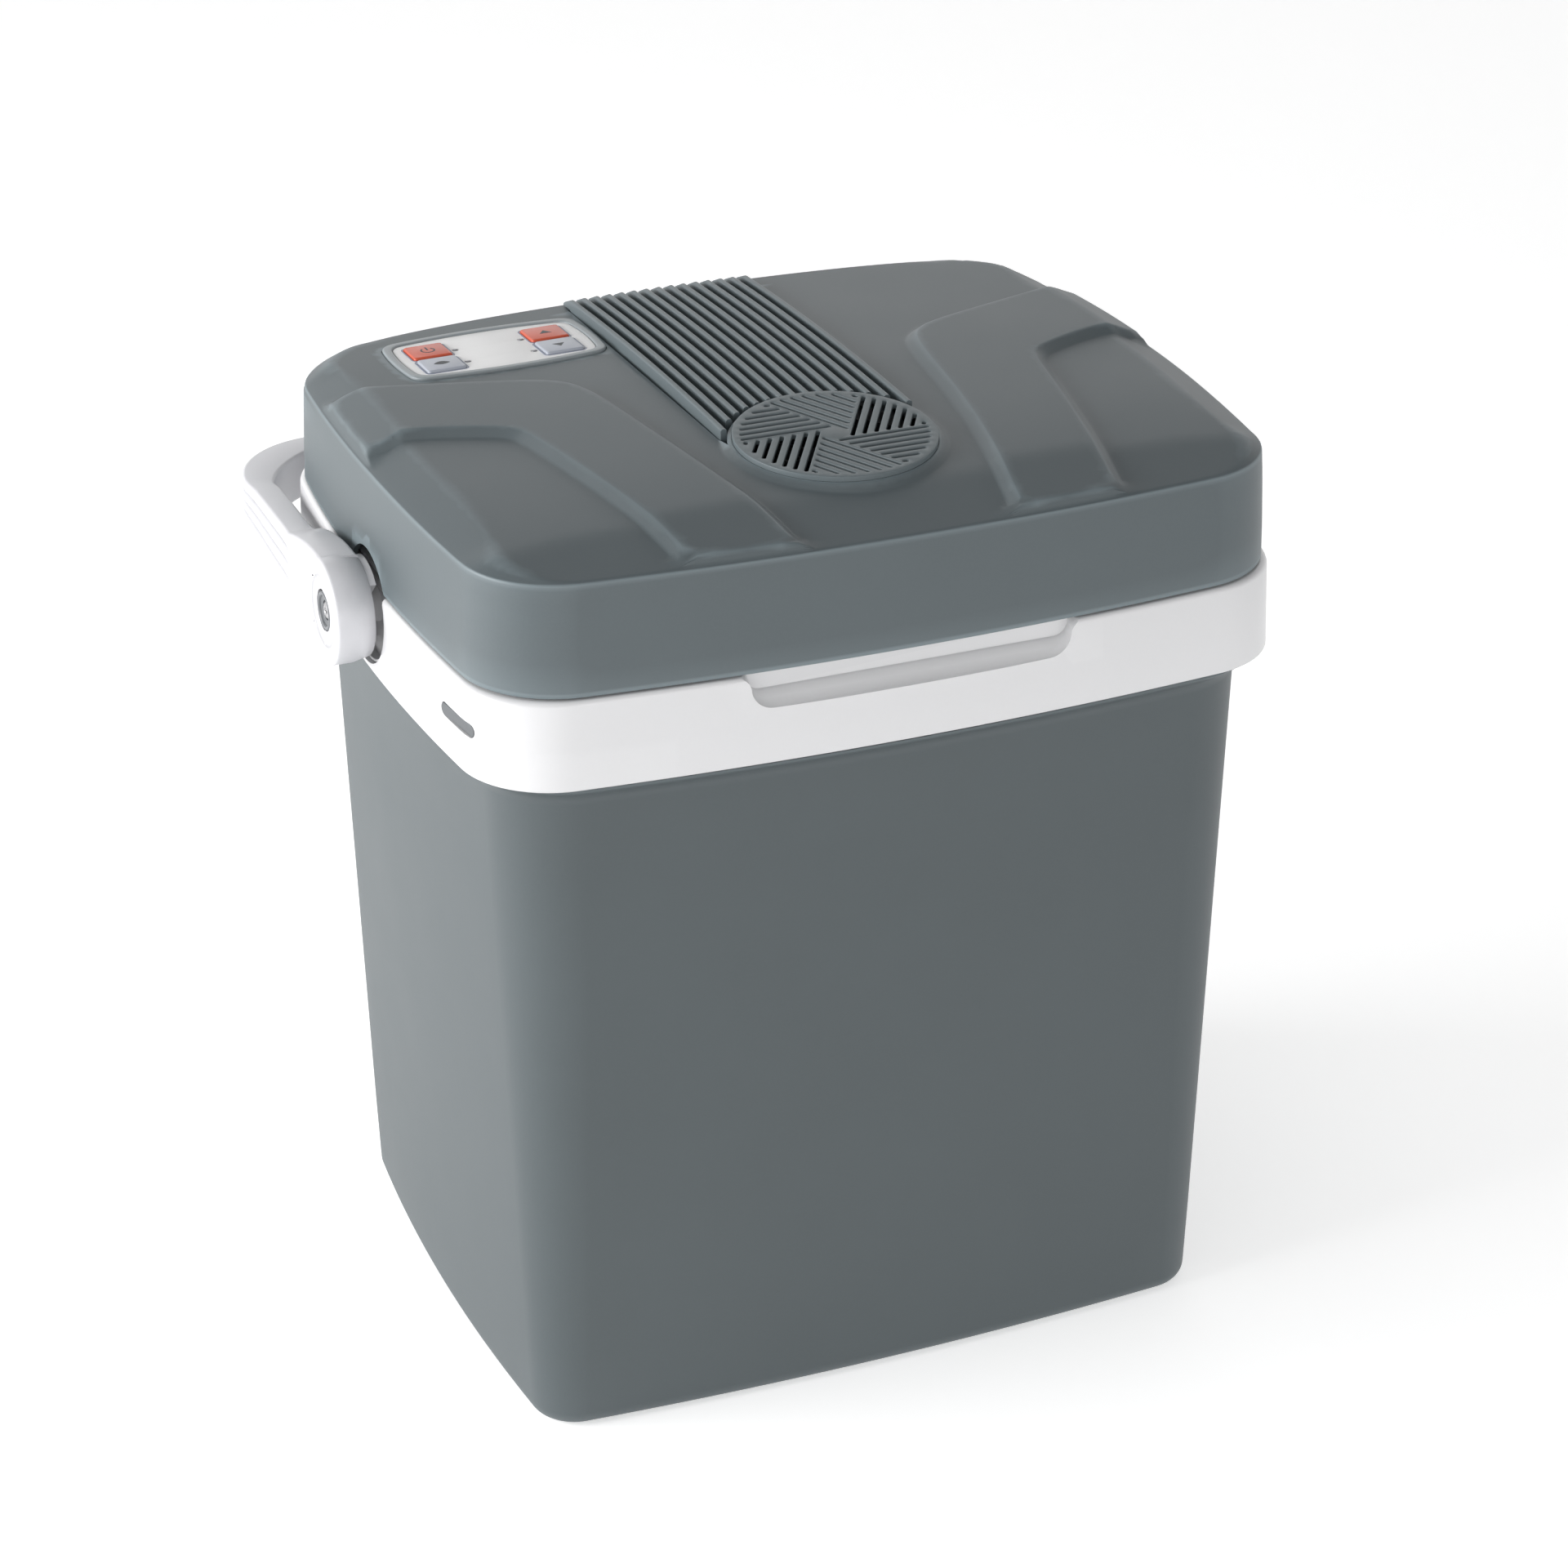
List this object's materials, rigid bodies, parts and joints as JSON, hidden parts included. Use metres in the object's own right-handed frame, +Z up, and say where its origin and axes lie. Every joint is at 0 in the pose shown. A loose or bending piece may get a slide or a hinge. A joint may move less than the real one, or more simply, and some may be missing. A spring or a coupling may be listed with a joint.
{
  "type": "thermoelectric cool box",
  "caption": "Portable electric cool box: tapered insulated tub, white collar, rear-hinged lid with fan grille, ribbed vent and key panel, and a swinging carry handle.",
  "frame": {"origin": "middle of the flat underside of the body, on the floor", "axes": "+Z up, -Y towards the front with the finger recess, +Y towards the lid hinge, X across"},
  "size_m": [0.438, 0.3569, 0.4561],
  "materials": {
    "body_shell": "fine-grained blue-grey plastic",
    "collar": "satin white plastic",
    "handle": "satin white plastic",
    "handle_bearing": "plain white plastic",
    "inner_liner": "smooth light grey food-safe plastic",
    "lid_inner": "smooth light grey plastic",
    "insulation": "rigid insulating foam",
    "lid_cover": "fine-grained blue-grey plastic",
    "fan_grille": "fine-grained blue-grey plastic",
    "rib_grille": "fine-grained blue-grey plastic",
    "lid_gasket": "soft dark seal",
    "panel_frame": "light grey plastic",
    "panel_label": "pale grey film",
    "orange_keys": "red-orange translucent key",
    "grey_keys": "light grey translucent key",
    "indicator_lamps": "unlit smoked lens",
    "fan_frames": "black plastic",
    "fan_rotors": "black plastic",
    "heatsinks": "plain extruded aluminium",
    "cold_block": "machined aluminium",
    "peltier_module": "white ceramic plates",
    "circuit_boards": "green lacquered board",
    "power_inlets": "black moulded socket",
    "pivot_pin": "plain steel sleeve",
    "pivot_cap": "grey plastic cover ring",
    "pivot_screw": "zinc-plated screw",
    "hinge_pin": "plain steel pin",
    "slot_insert": "grey plastic"
  },
  "bodies": {
    "body": {"body_shell": "body_shell", "body_foam": "insulation", "inner_liner": "inner_liner", "collar": "collar", "handle_bearing_left": "handle_bearing", "handle_bearing_right": "handle_bearing", "slot_insert_left": "slot_insert", "slot_insert_right": "slot_insert", "hinge_pin_left": "hinge_pin", "hinge_pin_right": "hinge_pin", "pivot_pin_left": "pivot_pin", "pivot_pin_right": "pivot_pin", "pivot_cap_left": "pivot_cap", "pivot_cap_right": "pivot_cap", "pivot_screw_left": "pivot_screw", "pivot_screw_right": "pivot_screw"},
    "lid": {"lid_cover": "lid_cover", "lid_inner": "lid_inner", "lid_foam": "insulation", "lid_gasket": "lid_gasket", "inner_grille": "lid_inner", "fan_grille": "fan_grille", "rib_grille": "rib_grille", "panel_frame": "panel_frame", "panel_label": "panel_label", "led_power": "indicator_lamps", "led_eco": "indicator_lamps", "led_up": "indicator_lamps", "led_down": "indicator_lamps", "hot_fan_frame": "fan_frames", "hot_heatsink": "heatsinks", "peltier_module": "peltier_module", "cold_block": "cold_block", "cold_heatsink": "heatsinks", "cold_fan_frame": "fan_frames", "control_board": "circuit_boards", "power_board": "circuit_boards", "inlet_dc": "power_inlets", "inlet_ac": "power_inlets"},
    "handle": {"handle": "handle"},
    "hot_rotor": {"hot_fan_rotor": "fan_rotors"},
    "cold_rotor": {"cold_fan_rotor": "fan_rotors"},
    "key_power": {"button_power": "orange_keys"},
    "key_eco": {"button_eco": "grey_keys"},
    "key_up": {"button_up": "orange_keys"},
    "key_down": {"button_down": "grey_keys"}
  },
  "joints": [
    {"name": "lid_hinge", "type": "hinge", "parent": "body", "child": "lid", "pos_m": [0, 0.168, 0.392], "axis": [-1, 0, 0], "range_deg": [0, 90]},
    {"name": "handle_swing", "type": "hinge", "parent": "body", "child": "handle", "pos_m": [0, 0, 0.3745], "axis": [1, 0, 0], "range_deg": [0, 176]},
    {"name": "hot_fan_spin", "type": "hinge", "parent": "lid", "child": "hot_rotor", "pos_m": [0, -0.073, 0.4347], "axis": [0, 0, 1], "continuous": true},
    {"name": "cold_fan_spin", "type": "hinge", "parent": "lid", "child": "cold_rotor", "pos_m": [0, -0.055, 0.3683], "axis": [0, 0, 1], "continuous": true},
    {"name": "press_power", "type": "slide", "parent": "lid", "child": "key_power", "axis": [0, 0, -1], "range_m": [0, 0.0006], "stiffness_N_per_m": 800, "springref_m": -0.0005},
    {"name": "press_eco", "type": "slide", "parent": "lid", "child": "key_eco", "axis": [0, 0, -1], "range_m": [0, 0.0006], "stiffness_N_per_m": 800, "springref_m": -0.0005},
    {"name": "press_up", "type": "slide", "parent": "lid", "child": "key_up", "axis": [0, 0, -1], "range_m": [0, 0.0006], "stiffness_N_per_m": 800, "springref_m": -0.0005},
    {"name": "press_down", "type": "slide", "parent": "lid", "child": "key_down", "axis": [0, 0, -1], "range_m": [0, 0.0006], "stiffness_N_per_m": 800, "springref_m": -0.0005}
  ]
}
